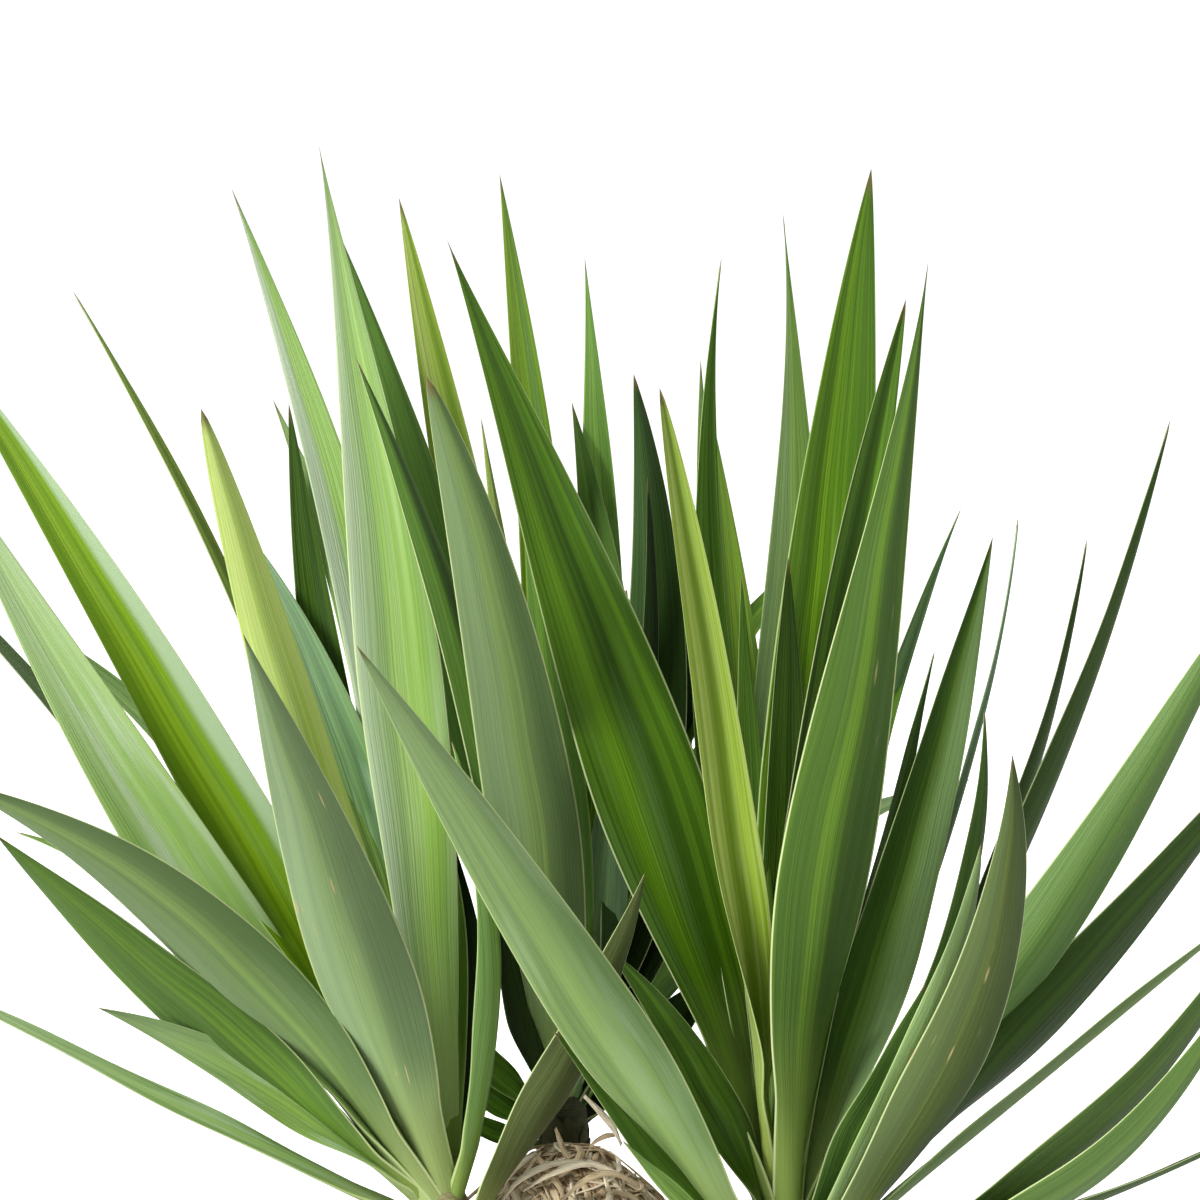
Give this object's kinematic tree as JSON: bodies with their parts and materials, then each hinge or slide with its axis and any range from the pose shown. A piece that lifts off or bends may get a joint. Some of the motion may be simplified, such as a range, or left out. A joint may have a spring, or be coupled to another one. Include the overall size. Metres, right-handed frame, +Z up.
{
  "type": "potted spineless yucca",
  "caption": "Leafy yucca shoots with long sword-shaped leaves, growing from soil and a heap of dry straw in a plain round tapered pot that stands on its flat base.",
  "frame": {"origin": "centre of the pot's flat underside", "axes": "+Z up along the pot's axis, +X to the right and -Y towards the viewer as the picture shows the plant"},
  "size_m": [0.5246, 0.4787, 0.6051],
  "materials": {
    "clay": "unglazed fired clay, matt",
    "soil": "loose dark potting soil",
    "straw": "dry straw, matt",
    "leaf": "smooth leathery leaf, satin"
  },
  "bodies": {
    "root": {"pot": "clay", "potting_soil": "soil", "straw_mulch": "straw", "shoot_left": "leaf", "shoot_right": "leaf", "shoot_back": "leaf"}
  },
  "joints": []
}
